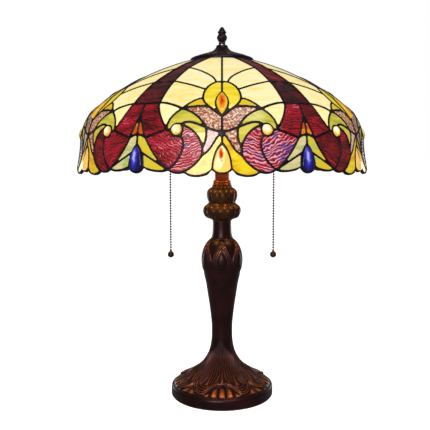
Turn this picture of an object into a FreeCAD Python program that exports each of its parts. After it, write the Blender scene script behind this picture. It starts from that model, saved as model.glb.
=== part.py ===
"""Leaded glass table lamp: a six-repeat domed shade over two pull-chain lamp holders on a cast stem.

The origin is the centre of the lamp's underside and +Z points up. One repeat of the shade faces -Y.
Angles round the shade are in degrees from -Y towards +X. Every length is in millimetres.
"""
import math
import os

from FreeCAD import Vector
import Part

os.makedirs("parts", exist_ok=True)

UP = Vector(0, 0, 1)
ORIGIN = Vector(0, 0, 0)

# ---------------------------------------------------------------- driving dimensions
# The outer face of the shade's lead: (radius, height) corners, joined by shallow arcs
SHADE_CORNERS = [(48, 542), (171, 488), (207, 458), (223, 421), (230.5, 362)]
SHADE_BULGES = [5.1, 1.0, 2.0, -1.0]
REPEATS = 6
HALF_REPEAT = 180 / REPEATS
LEAD_DEPTH = 5.0
LEAD_HALF_WIDTH = 1.35
GLASS_FACES = (1.0, 4.0)      # depths of the two faces of the glass below the lead's outer face
JEWEL_PROUD = 2.4             # how far a moulded jewel stands out of the lead
GLASS_TOP = 4                 # where the glass starts, as a distance down the shade

# Heights of the seams between the stem's castings
FELT = 2
WAIST_Z = 105
NECK_Z = 286
KNOP_Z = 316.5
COLLAR_Z = 345
SLEEVE_Z = 353
CLUSTER_Z = 366
CLUSTER_TOP = 398

FOOT_RADIUS = 83.5
LEDGE_Z = 12                  # the ledge in the foot that the iron weight is pulled up against
INLET_Z = 7.4
PIPE_R = 5.1                  # 1/8 IP lamp pipe
PIPE_BORE = 3.6
CLEAR = 0.3
ROD_R = 4.0
STUD_R = 3.1                  # 1/4-27 finial thread

# Lamp holders: E26, tilted up and out to both sides
TILT = 25
HOLDER_START = (52.7, 397.6)  # (x, z) of the end of the holder's cap, on its axis
SHELL_R = 17
CAP_END = 14                  # distances along the holder's axis from its start
INTERIOR_END = 25
HOLDER_END = 52
SCREW_R = 13.3
SHEET = 0.6                   # thickness of the rolled screw shell
BULB_R = 25
BULB_END = 119
BULB_SCREW_R = 13.0
BULB_WALL = 1
SPOUT_AT = 20
SPOUT_LENGTH = 30             # from the holder's axis to the bell mouth
LEVER_PIVOT = (10, 6)         # along the axis, and below it
LEVER_ARM = 9
LINK_START = 8.6

BEAD_R = 1.6
BEAD_PITCH = 4.2
BALL_R = 5.2
BALL_Z = 231.5

SPIDER_Z = 531
CAP_SEAT_Z = 543
CAP_LIP_Z = 541.6             # the cap's lip, just clear of the lead below it
CAP_TOP_Z = 566
WASHER_TOP_Z = 567.5
FINIAL_TOP_Z = 595


# ---------------------------------------------------------------- small helpers
def save(name, shape):
    shape.exportStep("parts/" + name + ".step")
    solids = len(shape.Solids)
    print(f"{name:20} {shape.Volume / 1000:9.2f} cm3  {solids:3} solids  valid {shape.isValid()}")


def turned(points, angle=360):
    """A solid of revolution about Z. A point is (r, z); a list of two is an arc's middle and end."""
    edges = []
    here = Vector(points[0][0], 0, points[0][1])
    start = here
    for item in points[1:]:
        if isinstance(item, list):
            middle, end = (Vector(r, 0, z) for r, z in item)
            edges.append(Part.Arc(here, middle, end).toShape())
        else:
            end = Vector(item[0], 0, item[1])
            edges.append(Part.makeLine(here, end))
        here = end
    edges.append(Part.makeLine(here, start))
    return Part.Face(Part.Wire(edges)).revolve(ORIGIN, UP, angle)


def tube(outer, inner, low, high):
    solid = Part.makeCylinder(outer, high - low, Vector(0, 0, low))
    return solid.cut(Part.makeCylinder(inner, high - low + 2, Vector(0, 0, low - 1)))


def hex_nut(across, bore, low, high):
    corner = across / math.sqrt(3)
    turns = [math.radians(60 * k) for k in range(7)]
    ring = Part.makePolygon([Vector(corner * math.cos(t), corner * math.sin(t), low) for t in turns])
    nut = Part.Face(ring).extrude(UP * (high - low))
    return nut.cut(Part.makeCylinder(bore, high - low + 2, Vector(0, 0, low - 1)))


def other_side(shape):
    return shape.mirror(ORIGIN, Vector(1, 0, 0))


def save_pair(name, shape):
    """One node for a fixed piece that both lamp holders have."""
    save(name, Part.makeCompound([shape, other_side(shape)]))


def save_each_side(name, shape):
    """A node for each side, for pieces that move on their own."""
    save("right_" + name, shape)
    save("left_" + name, other_side(shape))


# ---------------------------------------------------------------- the surface of the shade
def arc_of(start, bulge, end):
    """Centre, radius, first angle and turn of the arc from start to end that bulges to the left."""
    chord = math.dist(start, end)
    left = (-(end[1] - start[1]) / chord, (end[0] - start[0]) / chord)
    radius = (chord ** 2 / 4 + bulge ** 2) / (2 * bulge)
    centre = [(a + b) / 2 + side * (bulge - radius) for a, b, side in zip(start, end, left)]
    first = math.atan2(start[1] - centre[1], start[0] - centre[0])
    last = math.atan2(end[1] - centre[1], end[0] - centre[0])
    turn = (last - first + math.pi) % (2 * math.pi) - math.pi
    return centre, radius, first, turn


ARCS = [arc_of(*corners) for corners in zip(SHADE_CORNERS, SHADE_BULGES, SHADE_CORNERS[1:])]
SPANS = [abs(radius * turn) for _, radius, _, turn in ARCS]
SHADE_LENGTH = sum(SPANS)


def shade_frame(angle, distance):
    """The point on the lead's outer face, and the outward normal, at a distance down the shade."""
    k = 0
    while k < len(SPANS) - 1 and distance > SPANS[k]:
        distance -= SPANS[k]
        k += 1
    centre, radius, first, turn = ARCS[k]
    along = first + turn * distance / SPANS[k]
    ahead = (math.cos(along), math.sin(along))
    out = ahead if radius > 0 else (-ahead[0], -ahead[1])
    place = (centre[0] + abs(radius) * ahead[0], centre[1] + abs(radius) * ahead[1])
    round_z = (math.sin(math.radians(angle)), -math.cos(math.radians(angle)))
    return tuple(Vector(r * round_z[0], r * round_z[1], z) for r, z in (place, out))


def on_shade(angle, distance, depth=0.0):
    place, normal = shade_frame(angle, distance)
    return place - normal * depth


def shade_wall(outer, inner, start, sweep):
    """The wall between two depths, from a start angle, turned through a sweep."""
    marks = [0.0]
    for span in SPANS:
        marks += [marks[-1] + span * 0.5, marks[-1] + span]
    faces = []
    for depth in (outer, inner):
        line = []
        for k, mark in enumerate(marks):
            inset = depth
            if k in (2, 4, 6):
                before = shade_frame(start, mark - 0.001)[1]
                after = shade_frame(start, mark + 0.001)[1]
                middle = (before + after).normalize()
                line.append(on_shade(start, mark) - middle * (inset / middle.dot(before)))
            else:
                line.append(on_shade(start, mark, inset))
        faces.append(line)
    edges = []
    for line in faces:
        edges += [Part.Arc(*line[k:k + 3]).toShape() for k in range(0, len(line) - 1, 2)]
    edges += [Part.makeLine(faces[0][k], faces[1][k]) for k in (0, -1)]
    wire = Part.Wire(Part.__sortEdges__(edges))
    return Part.Face(wire).revolve(ORIGIN, UP, sweep)


# ---------------------------------------------------------------- the leaded pattern
# Half of one repeat: (angle, distance down the shade) of the points where leads meet
MEETS = {
    "crown_front": (0, GLASS_TOP), "crown_ribbon": (20, GLASS_TOP), "crown_side": (30, GLASS_TOP),
    "circle_top": (0, 127.5), "rib_1": (2.7, 128.7), "rib_2": (6.8, 148.5),
    "ribbon_1": (24.4, 70), "ribbon_2": (24.2, 122), "ribbon_3": (24, 175.5),
    "bar_2": (30, 123), "bar_3": (30, 176),
    "oval_top": (0, 153.5), "oval_foot": (0, 200),
    "crescent_top": (7.2, 168.5), "crescent_foot": (4.5, 185.5),
    "wing_tip": (14.2, 188), "hook": (18.8, 217.3), "leaf_end": (5.4, 214.5), "star": (0, 221),
    "bead_outer": (17.4, 218.5), "bead_top": (13.9, 210.5), "bead_foot": (13.8, 225),
    "leaf_foot": (6.4, 241), "petal_tip": (6.5, 251),
    "flame_tip": (0, 235.5), "flame_side": (3.1, 268.3), "flame_foot": (0, 273.6),
    "rim_petal": (12.7, 272.3), "rim_fan": (17.8, 269.6), "rim_drop": (27.2, 266.3),
    "fan_corner": (26.7, 228.3), "spear_tip": (30, 196), "spear_foot": (30, 223.5),
    "drop_tip": (30, 236.5), "drop_side": (28.1, 247), "drop_foot": (30, 273.4),
}
# The points that a curved lead passes between two meets; every other lead is straight on the dome
CURVES = {
    ("crown_ribbon", "ribbon_1"): [(22, 36)],
    ("ribbon_1", "rib_1"): [(16, 82), (8, 100.5), (4, 116)],
    ("ribbon_2", "rib_2"): [(19, 128.5), (12, 139)],
    ("ribbon_3", "wing_tip"): [(20, 178), (16.5, 183.5)],
    ("rib_1", "rib_2"): [(5.1, 136.5)],
    ("rib_2", "crescent_top"): [(7.3, 158)],
    ("crescent_top", "crescent_foot"): [(6.2, 177.5)],
    ("crescent_foot", "oval_foot"): [(2.6, 191.5)],
    ("oval_top", "oval_foot"): [(1.6, 165), (2.3, 177), (1.6, 190)],
    ("crescent_top", "wing_tip"): [(10, 172.5), (12.2, 180)],
    ("crescent_foot", "wing_tip"): [(9, 184.3)],
    ("wing_tip", "leaf_end"): [(9.8, 195), (7.2, 204)],
    ("leaf_end", "star"): [(3, 218.3)],
    ("wing_tip", "hook"): [(16.9, 197), (18.5, 207.5)],
    ("bead_top", "leaf_end"): [(12, 207.3), (8.8, 209.3)],
    ("bead_top", "leaf_foot"): [(10, 218), (7.6, 229)],
    ("leaf_end", "leaf_foot"): [(5.2, 228)],
    ("bead_outer", "bead_top"): [(16.5, 211.7)],
    ("bead_top", "bead_foot"): [(13.15, 217.8)],
    ("bead_foot", "bead_outer"): [(15.7, 226.3)],
    ("star", "petal_tip"): [(2.3, 232.5), (4.2, 243.5)],
    ("petal_tip", "rim_petal"): [(8.7, 262)],
    ("bead_foot", "rim_fan"): [(12.9, 239), (14.2, 254)],
    ("flame_tip", "flame_side"): [(1.5, 243), (2.7, 256)],
    ("flame_side", "flame_foot"): [(1.7, 272.5)],
    ("flame_side", "rim_petal"): [(5, 274.3), (8.3, 277.2)],
    ("rim_petal", "rim_fan"): [(15.2, 273.3)],
    ("rim_fan", "rim_drop"): [(21.5, 271.3), (24.6, 269.6)],
    ("ribbon_3", "hook"): [(22.9, 190), (20.7, 206.5)],
    ("hook", "fan_corner"): [(22.5, 222.5)],
    ("fan_corner", "rim_fan"): [(24.7, 241), (21.4, 257)],
    ("spear_tip", "fan_corner"): [(28.9, 206), (27.9, 217)],
    ("fan_corner", "spear_foot"): [(28.4, 225)],
    ("drop_tip", "drop_side"): [(28.9, 241.3)],
    ("drop_side", "rim_drop"): [(27.4, 256)],
    ("rim_drop", "drop_foot"): [(28.4, 271.5)],
    ("drop_side", "rim_fan"): [(24.6, 254.5), (21.2, 262)],
}
# Panes by the kind of glass they are cut from. Each is the ring of meets round it; a ring that
# ends with "mirror" is half of a pane that crosses the repeat's edge or middle.
PANES = {
    "cream_glass": [
        ["crown_front", "circle_top", "rib_1", "ribbon_1", "crown_ribbon"],
        ["rib_1", "rib_2", "ribbon_2", "ribbon_1"],
        ["rib_2", "crescent_top", "wing_tip", "ribbon_3", "ribbon_2"],
        ["ribbon_3", "wing_tip", "hook"]],
    "yellow_glass": [
        ["circle_top", "oval_top", "oval_foot", "crescent_foot", "crescent_top", "rib_2", "rib_1"],
        ["star", "flame_tip", "flame_side", "rim_petal", "petal_tip"]],
    "amber_glass": [
        ["crescent_top", "crescent_foot", "wing_tip"],
        ["spear_tip", "fan_corner", "spear_foot"]],
    "confetti_glass": [
        ["oval_foot", "star", "leaf_end", "wing_tip", "crescent_foot"],
        ["star", "petal_tip", "leaf_foot", "leaf_end"]],
    "olive_glass": [
        ["wing_tip", "leaf_end", "bead_top", "bead_outer", "hook"],
        ["leaf_end", "leaf_foot", "bead_top"]],
    "crimson_glass": [
        ["crown_ribbon", "ribbon_1", "ribbon_2", "bar_2", "crown_side", "mirror"],
        ["ribbon_2", "ribbon_3", "bar_3", "bar_2", "mirror"],
        ["ribbon_3", "hook", "fan_corner", "spear_tip", "bar_3"],
        ["hook", "bead_outer", "bead_foot", "rim_fan", "fan_corner"],
        ["bead_top", "leaf_foot", "petal_tip", "rim_petal", "rim_fan", "bead_foot"]],
    "green_glass": [
        ["spear_foot", "fan_corner", "rim_fan", "drop_side", "drop_tip"],
        ["drop_side", "rim_fan", "rim_drop"]],
    "oval_jewels": [["oval_top", "oval_foot", "mirror"]],
    "flame_jewels": [["flame_tip", "flame_side", "flame_foot", "mirror"]],
    "drop_jewels": [["drop_tip", "drop_side", "rim_drop", "drop_foot", "mirror"]],
    "bead_jewels": [["bead_outer", "bead_top", "bead_foot"]],
}
RIM = ["flame_foot", "flame_side", "rim_petal", "rim_fan", "rim_drop", "drop_foot"]
DOME_RADIUS = {"oval_jewels": 70, "flame_jewels": 62, "drop_jewels": 62, "bead_jewels": 16}


def lead_line(start, end, steps=24):
    """Evenly spaced (angle, distance) points along the lead between two meets."""
    if (start, end) in CURVES:
        middle = CURVES[(start, end)]
    else:
        middle = CURVES.get((end, start), [])[::-1]
    knots = [Vector(a, s / 4, 0) for a, s in [MEETS[start], *middle, MEETS[end]]]
    if len(knots) == 2:
        curve = Part.LineSegment(*knots)
    else:
        curve = Part.BSplineCurve()
        curve.interpolate(knots)
    points = curve.toShape().discretize(steps + 1)
    return [(p.x, p.y * 4) for p in points]


def ring_leads(ring):
    """The leads round a pane, each as a list of points, with the far half of a mirrored pane."""
    if ring[-1] != "mirror":
        return [lead_line(a, b) for a, b in zip(ring, ring[1:] + ring[:1])]
    half = [lead_line(a, b) for a, b in zip(ring[:-1], ring[1:-1])]
    axis = round(MEETS[ring[-2]][0])
    half = [line for line in half if any(abs(angle - axis) > 0.01 for angle, _ in line)]
    return half + [[(2 * axis - a, s) for a, s in line[::-1]] for line in half[::-1]]


def crossing(a, b, c, d):
    """Where segment a-b crosses segment c-d, as fractions along each, or None."""
    first, second, gap = b - a, d - c, c - a
    size = first.x * second.y - first.y * second.x
    if abs(size) < 1e-9:
        return None
    t = (gap.x * second.y - gap.y * second.x) / size
    u = (gap.x * first.y - gap.y * first.x) / size
    return (t, u) if 0 <= t <= 1 and 0 <= u <= 1 else None


def trim_pair(before, after):
    """Cuts two neighbouring inset lines where they cross; lines that miss each other are joined."""
    for i in range(len(before) - 2, -1, -1):
        for j in range(len(after) - 1):
            hit = crossing(before[i], before[i + 1], after[j], after[j + 1])
            if hit:
                corner = before[i] + (before[i + 1] - before[i]) * hit[0]
                return before[:i + 1] + [corner], [corner] + after[j + 1:]
    corner = (before[-1] + after[0]) * 0.5
    return before[:-1] + [corner], [corner] + after[1:]


def spaced(points, count):
    """A few evenly spaced points along a line of many."""
    marks = [0.0]
    for a, b in zip(points, points[1:]):
        marks.append(marks[-1] + (b - a).Length)
    picked = [points[0]]
    for k in range(1, count):
        target = marks[-1] * k / count
        i = next(n for n in range(1, len(marks)) if marks[n] >= target)
        share = (target - marks[i - 1]) / (marks[i] - marks[i - 1])
        picked.append(points[i - 1] + (points[i] - points[i - 1]) * share)
    return picked + [points[-1]]


class Pane:
    """One pane: the plane that it is cut square to, and its outline inside the leads."""

    def __init__(self, ring, inset=LEAD_HALF_WIDTH):
        leads = ring_leads(ring)
        corners = [on_shade(*line[0]) for line in leads] + [on_shade(*line[12]) for line in leads]
        self.centre = sum(corners, ORIGIN) / len(corners)
        angles = [a for line in leads for a, _ in line]
        spots = [s for line in leads for _, s in line]
        middle = ((min(angles) + max(angles)) / 2, (min(spots) + max(spots)) / 2)
        self.out = shade_frame(*middle)[1]
        self.across = UP.cross(self.out).normalize()
        self.down = self.across.cross(self.out)
        flat = [[self.flatten(on_shade(a, s, LEAD_DEPTH / 2)) for a, s in line] for line in leads]
        self.outline = self.inset_outline(flat, inset)

    def flatten(self, point):
        offset = point - self.centre
        return Vector(offset.dot(self.across), offset.dot(self.down), 0)

    def inset_outline(self, lines, inset):
        corners = [p for line in lines for p in line[:-1]]
        area = sum(a.x * b.y - a.y * b.x for a, b in zip(corners, corners[1:] + corners[:1]))
        side = 1 if area > 0 else -1
        moved = []
        for line in lines:
            offset = []
            for k, point in enumerate(line):
                ahead = (line[min(k + 1, len(line) - 1)] - line[max(k - 1, 0)]).normalize()
                offset.append(point + Vector(-ahead.y, ahead.x, 0) * side * inset)
            moved.append(offset)
        for k in range(len(moved)):
            moved[k - 1], moved[k] = trim_pair(moved[k - 1], moved[k])
        return moved

    def prism(self, outward=12.0, inward=20.0):
        """The pane's outline as a solid through the wall of the shade."""
        lift = self.centre + self.out * outward
        edges = []
        for line in self.outline:
            length = sum((b - a).Length for a, b in zip(line, line[1:]))
            count = 1 if len(line) == 2 else max(2, min(7, round(length / 9)))
            places = [lift + self.across * p.x + self.down * p.y for p in spaced(line, count)]
            if len(places) == 2:
                edges.append(Part.makeLine(*places))
            else:
                curve = Part.BSplineCurve()
                curve.interpolate(places)
                edges.append(curve.toShape())
        return Part.Face(Part.Wire(edges)).extrude(self.out * -(outward + inward))


def both_halves(shape):
    return [shape, shape.mirror(ORIGIN, Vector(1, 0, 0))]


def all_round(shapes):
    """Copies of the shapes in every repeat."""
    copies = []
    for k in range(REPEATS):
        for shape in shapes:
            copy = shape.copy()
            copy.rotate(ORIGIN, UP, 360 / REPEATS * k)
            copies.append(copy)
    return copies


def jewel(pane, prism, radius):
    """A moulded cabochon: the pane's outline with a domed front."""
    top = max(on_shade_depth(pane, prism), 0) + JEWEL_PROUD
    ball = Part.makeSphere(radius, pane.centre + pane.out * (top - radius))
    return prism.common(ball)


def on_shade_depth(pane, prism):
    """How far the lead's outer face is above the pane's own plane, at the pane's middle."""
    middle = prism.CenterOfMass
    offset = (middle - pane.centre).dot(pane.out)
    near = middle - pane.out * offset
    angle = math.degrees(math.atan2(near.x, -near.y))
    best = min((abs((on_shade(angle, s / 2) - near).dot(pane.down)), s / 2) for s in range(560))
    return (on_shade(angle, best[1]) - near).dot(pane.out)


def build_shade():
    glass_wall = shade_wall(*GLASS_FACES, -45, 90)
    prisms = []
    straddling = []
    for kind, rings in PANES.items():
        pieces = []
        for ring in rings:
            pane = Pane(ring)
            prism = pane.prism()
            if kind in DOME_RADIUS:
                deep = on_shade_depth(pane, prism)
                keep = pane.prism(JEWEL_PROUD + deep + 5, GLASS_FACES[1] - deep)
                glass = jewel(pane, keep, DOME_RADIUS[kind])
            else:
                glass = prism.common(glass_wall)
            if len(glass.Solids) != 1:
                print("pane in", len(glass.Solids), "solids:", kind, ring)
            glass = max(glass.Solids, key=lambda solid: solid.Volume)
            if ring[-1] == "mirror":
                pieces.append(glass)
                straddling.append(prism)
            else:
                pieces += both_halves(glass)
                prisms += both_halves(prism)
        save(kind, Part.makeCompound(all_round(pieces)))
    for prism in straddling:
        prisms.append(prism)
        if abs(prism.CenterOfMass.x) > 1:
            prisms.append(other_side(prism))
    return prisms


def rim_edge(depth):
    """The rim's wavy lower edge at one depth, from -HALF_REPEAT to HALF_REPEAT."""
    half = []
    for a, b in zip(RIM, RIM[1:]):
        half += lead_line(a, b, 6)[:-1]
    half.append(MEETS[RIM[-1]])
    whole = [(-a, s) for a, s in half[:0:-1]] + half
    curve = Part.BSplineCurve()
    curve.interpolate([on_shade(a, min(s + LEAD_HALF_WIDTH, SHADE_LENGTH - 0.2), depth) for a, s in whole])
    return curve.toShape()


def build_lattice(prisms):
    """The soldered lead, made in one section for each repeat."""
    wall = shade_wall(0, LEAD_DEPTH, -HALF_REPEAT, 2 * HALF_REPEAT)
    below_rim = Part.makeRuledSurface(rim_edge(-8), rim_edge(LEAD_DEPTH + 8)).extrude(UP * -60)
    section = wall.cut(below_rim).cut(prisms)
    save("lead_lattice", Part.makeCompound(all_round([section])))


# ---------------------------------------------------------------- foot, stem and what is inside them
def build_foot():
    foot = turned([
        (PIPE_R + CLEAR, WAIST_Z), (16.8, WAIST_Z), [(18.9, 80), (26.5, 60)], [(38, 44.5), (58, 29)],
        [(71, 22.5), (80, 17)], [(82.9, 15), (FOOT_RADIUS, 12.6)], (FOOT_RADIUS, FELT), (80, FELT),
        (80, LEDGE_Z), (73, LEDGE_Z), (71, 16), [(56, 24), (40, 34)], [(27, 47), (20.5, 60)],
        [(15, 78), (13, 100)], (PIPE_R + CLEAR, 100)])
    gland_hole = Part.makeCylinder(4.6, 12, Vector(0, FOOT_RADIUS - 10, INLET_Z), Vector(0, 1, 0))
    save("foot_casting", foot.cut(gland_hole))
    save("felt_pad", Part.makeCylinder(82, FELT))

    bushing = Part.makeCylinder(4.6, 8.5, Vector(0, 77, INLET_Z), Vector(0, 1, 0))
    flange = Part.makeCylinder(5.2, 1.6, Vector(0, FOOT_RADIUS, INLET_Z), Vector(0, 1, 0))
    bore = Part.makeCylinder(3.2, 14, Vector(0, 75, INLET_Z), Vector(0, 1, 0))
    outside = Part.makeCylinder(90, 20).cut(Part.makeCylinder(FOOT_RADIUS, 20))
    save("cord_bushing", bushing.fuse(flange.common(outside)).cut(bore).removeSplitter())

    save("iron_weight", turned([
        (PIPE_R + CLEAR, 9.5), (60, 9.5), (60, 10), (76.5, 10), (76.5, LEDGE_Z), (68, LEDGE_Z),
        (66, 15), (30, 21), (12, 21), (PIPE_R + CLEAR, 21)]))
    save("base_washer", tube(16, PIPE_R + CLEAR, 8, 9.5))
    save("base_nut", hex_nut(14.3, PIPE_R, 4.8, 8))
    save("lamp_pipe", tube(PIPE_R, PIPE_BORE, 3.6, CLUSTER_Z + 8))


def build_stem():
    """The hollow castings threaded on the lamp pipe, from the waist to the shade."""
    bore = PIPE_R + CLEAR
    save("leaf_casting", turned([
        (bore, WAIST_Z), (16.8, WAIST_Z), [(20.2, 146), (26.3, 186)], [(31.6, 207), (33.6, 223)],
        [(31.6, 240), (26.2, 251)], [(20, 257.5), (15.9, 265)], [(15.2, 275), (15.1, NECK_Z)],
        (bore, NECK_Z), (bore, NECK_Z - 4), (11.5, NECK_Z - 4), (11.5, 264), [(26, 241), (29.6, 223)],
        [(27.6, 207), (22.3, 186)], [(16.4, 146), (13, WAIST_Z + 5)], (bore, WAIST_Z + 5)]))
    save("lobed_knop", turned([
        (bore, NECK_Z), (15.1, NECK_Z), (18.7, 290.5), [(24.5, 292), (28, 295)],
        [(31.2, 303), (28.4, 311)], [(24, 314), (21.4, KNOP_Z)], (bore, KNOP_Z), (bore, KNOP_Z - 4),
        (17, KNOP_Z - 4), [(27, 303), (17, 293)], (bore, 293)]))
    save("fluted_knop", turned([
        (bore, KNOP_Z), (21.4, KNOP_Z), [(25.2, 328.6), (21.3, 338)], [(17.5, 341), (15.5, COLLAR_Z)],
        (bore, COLLAR_Z), (bore, COLLAR_Z - 4), (12, COLLAR_Z - 4), [(21.5, 328.6), (17.6, KNOP_Z + 4)],
        (bore, KNOP_Z + 4)]))
    save("neck_ring", turned([
        (bore, COLLAR_Z), (14.4, COLLAR_Z), [(15.2, 346.5), (13.6, 348.2)], [(14.3, 350), (13, 352.2)],
        (12.2, SLEEVE_Z), (bore, SLEEVE_Z)]))
    save("copper_sleeve", tube(11.8, 10.4, SLEEVE_Z, CLUSTER_Z))


# ---------------------------------------------------------------- lamp holders
def holder_frame(shape, along=0.0):
    """Moves a shape built on +Z, with its front to +X, onto the right-hand holder's axis."""
    moved = shape.copy()
    moved.translate(UP * along)
    moved.rotate(ORIGIN, Vector(0, 1, 0), 90 - TILT)
    moved.translate(Vector(HOLDER_START[0], 0, HOLDER_START[1]))
    return moved


def below_axis(radius, along, start, end):
    """A bar square to the holder's axis, on its lower side, before it is moved into place."""
    return Part.makeCylinder(radius, end - start, Vector(start, 0, along), Vector(1, 0, 0))


def build_cluster():
    reach = HOLDER_START[0] / math.cos(math.radians(TILT))
    arm = holder_frame(tube(PIPE_R, PIPE_BORE, 12 - reach, 3))
    hole = holder_frame(Part.makeCylinder(PIPE_R, reach, Vector(0, 0, 5 - reach)))
    body = turned([
        (PIPE_R, CLUSTER_Z), (12, CLUSTER_Z), [(15.4, 367.4), (17, CLUSTER_Z + 6)], (17, CLUSTER_TOP - 4),
        (14.4, CLUSTER_TOP - 4), (14.4, CLUSTER_Z + 4), (PIPE_R, CLUSTER_Z + 4)])
    save("cluster_body", body.cut([hole, other_side(hole)]))
    save("cluster_lid", turned([
        (ROD_R, CLUSTER_TOP - 4), (17, CLUSTER_TOP - 4), (17, CLUSTER_TOP - 2), (8, CLUSTER_TOP),
        (ROD_R, CLUSTER_TOP)]))
    save("pipe_nut", hex_nut(14.3, PIPE_R, CLUSTER_Z + 4, CLUSTER_Z + 7.5))
    save_pair("holder_arms", arm)


def build_holders():
    cap = turned([
        (PIPE_R, 0), (8.5, 0), (9.5, 3), [(15.5, 5.6), (SHELL_R, 10)], (SHELL_R, CAP_END),
        (SHELL_R - 1, CAP_END), (SHELL_R - 1, 10), [(14.6, 6.6), (10, 4.4)], (PIPE_R, 4.4)])
    shell = turned([
        (SHELL_R - 1, CAP_END), (SHELL_R, CAP_END), (SHELL_R, 46), [(16.6, 49), (SHELL_R, HOLDER_END)],
        (SHELL_R - 0.8, HOLDER_END), [(15.8, 49), (SHELL_R - 1, 46)]])
    liner = tube(SHELL_R - 1, SHELL_R - 1.8, CAP_END, 46)
    interior = Part.makeCylinder(14.8, INTERIOR_END - 7, Vector(0, 0, 7))
    switch_slot = Part.makeBox(15.5, 4.4, 16.6, Vector(2, -2.2, 7.4))
    pin = Part.makeCylinder(1, 4.4, Vector(LEVER_PIVOT[1], -2.2, LEVER_PIVOT[0]), Vector(0, 1, 0))
    interior = interior.common(Part.makeCylinder(14.8, 30)).cut(switch_slot).fuse(pin)
    screw = turned([
        (5, INTERIOR_END), (SCREW_R + SHEET, INTERIOR_END), (SCREW_R + SHEET, HOLDER_END - 1),
        (SCREW_R, HOLDER_END - 1), (SCREW_R, INTERIOR_END + SHEET), (5, INTERIOR_END + SHEET)])
    contact = Part.makeCylinder(3.4, 2.2, Vector(0, 0, INTERIOR_END))
    spout = turned([
        (2.6, 14.9), (4, 14.9), (4, 23), [(4.6, 27), (6.2, SPOUT_LENGTH)], (5.2, SPOUT_LENGTH),
        [(3.6, 27), (2.6, 23)]])
    spout.rotate(ORIGIN, Vector(0, 1, 0), 90)
    spout.translate(UP * SPOUT_AT)
    hole = below_axis(4, SPOUT_AT, 8, 20)
    save_pair("holder_caps", holder_frame(cap.cut(hole)))
    save_pair("holder_shells", holder_frame(shell.cut(hole)))
    save_pair("holder_liners", holder_frame(liner.cut(hole)))
    save_pair("switch_blocks", holder_frame(interior))
    save_pair("screw_shells", holder_frame(screw))
    save_pair("centre_contacts", holder_frame(contact))
    save_pair("bell_mouths", holder_frame(spout))


def build_bulb():
    tip = turned([(0, 27.4), (3.2, 27.4), (4, 28.2), (4, 28.95), (0, 28.95)])
    base = turned([
        (0, 29), (5, 29), (BULB_SCREW_R, 33), (BULB_SCREW_R, 53), (11, 55), (0, 55)])
    centre = BULB_END - BULB_R

    def on_ball(radius, degrees):
        return (radius * math.cos(math.radians(degrees)), centre + radius * math.sin(math.radians(degrees)))

    inner = BULB_R - BULB_WALL
    glass = turned([
        (11, 55), (13, 55), [(15.5, 66), on_ball(BULB_R, -38)],
        [on_ball(BULB_R, 45), on_ball(BULB_R, 87)], (0, on_ball(BULB_R, 87)[1]),
        (0, on_ball(inner, 87)[1]), on_ball(inner, 87), [on_ball(inner, 45), on_ball(inner, -38)],
        [(14.5, 66), (12, 56)], (11, 56)])
    save_each_side("bulb_tip", holder_frame(tip))
    save_each_side("bulb_screw", holder_frame(base))
    save_each_side("bulb_globe", holder_frame(glass))


def bead_string(low, high):
    """Beads on a wire along Z, from low to high, as one solid of revolution."""
    count = int((high - low) / BEAD_PITCH)
    pitch = (high - low) / count
    wire = 0.5
    half = math.sqrt(BEAD_R ** 2 - wire ** 2)
    outline = [(0, low), (wire, low)]
    for k in range(count):
        centre = low + pitch * (k + 0.5)
        outline += [(wire, centre - half), [(BEAD_R, centre), (wire, centre + half)]]
    return turned(outline + [(wire, high), (0, high)])


def build_chain():
    pivot_r, pivot_z = LEVER_PIVOT[1], LEVER_PIVOT[0]
    lever = Part.makeCylinder(2.4, 2, Vector(pivot_r, -1, pivot_z), Vector(0, 1, 0))
    lever = lever.fuse(Part.makeBox(2, 2, LEVER_ARM + 1, Vector(pivot_r - 1, -1, pivot_z)))
    lever = lever.cut(Part.makeCylinder(1.05, 4, Vector(pivot_r, -2, pivot_z), Vector(0, 1, 0)))
    save_each_side("switch_lever", holder_frame(lever))

    link = bead_string(LINK_START, SPOUT_LENGTH - 2)
    link.rotate(ORIGIN, Vector(0, 1, 0), 90)
    link.translate(UP * SPOUT_AT)
    save_each_side("pull_link", holder_frame(link))

    mouth = holder_frame(Part.Vertex(SPOUT_LENGTH, 0, SPOUT_AT)).Point
    knuckle = Part.makeSphere(1.5, mouth)
    save_each_side("chain_knuckle", knuckle)
    chain = bead_string(BALL_Z + BALL_R, mouth.z - 1.8)
    chain.translate(Vector(mouth.x, 0, 0))
    save_each_side("bead_chain", chain)
    ball = Part.makeSphere(BALL_R, Vector(mouth.x, 0, BALL_Z))
    ferrule_top = BALL_Z + BALL_R + 0.9
    ferrule = turned([(0, BALL_Z + 3), (2.1, BALL_Z + 3), (1.9, ferrule_top), (0, ferrule_top)])
    ferrule.translate(Vector(mouth.x, 0, 0))
    save_each_side("chain_ball", ball.fuse(ferrule).cut(chain).removeSplitter())
    print("chain pivot", [round(v, 3) for v in mouth])


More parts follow.
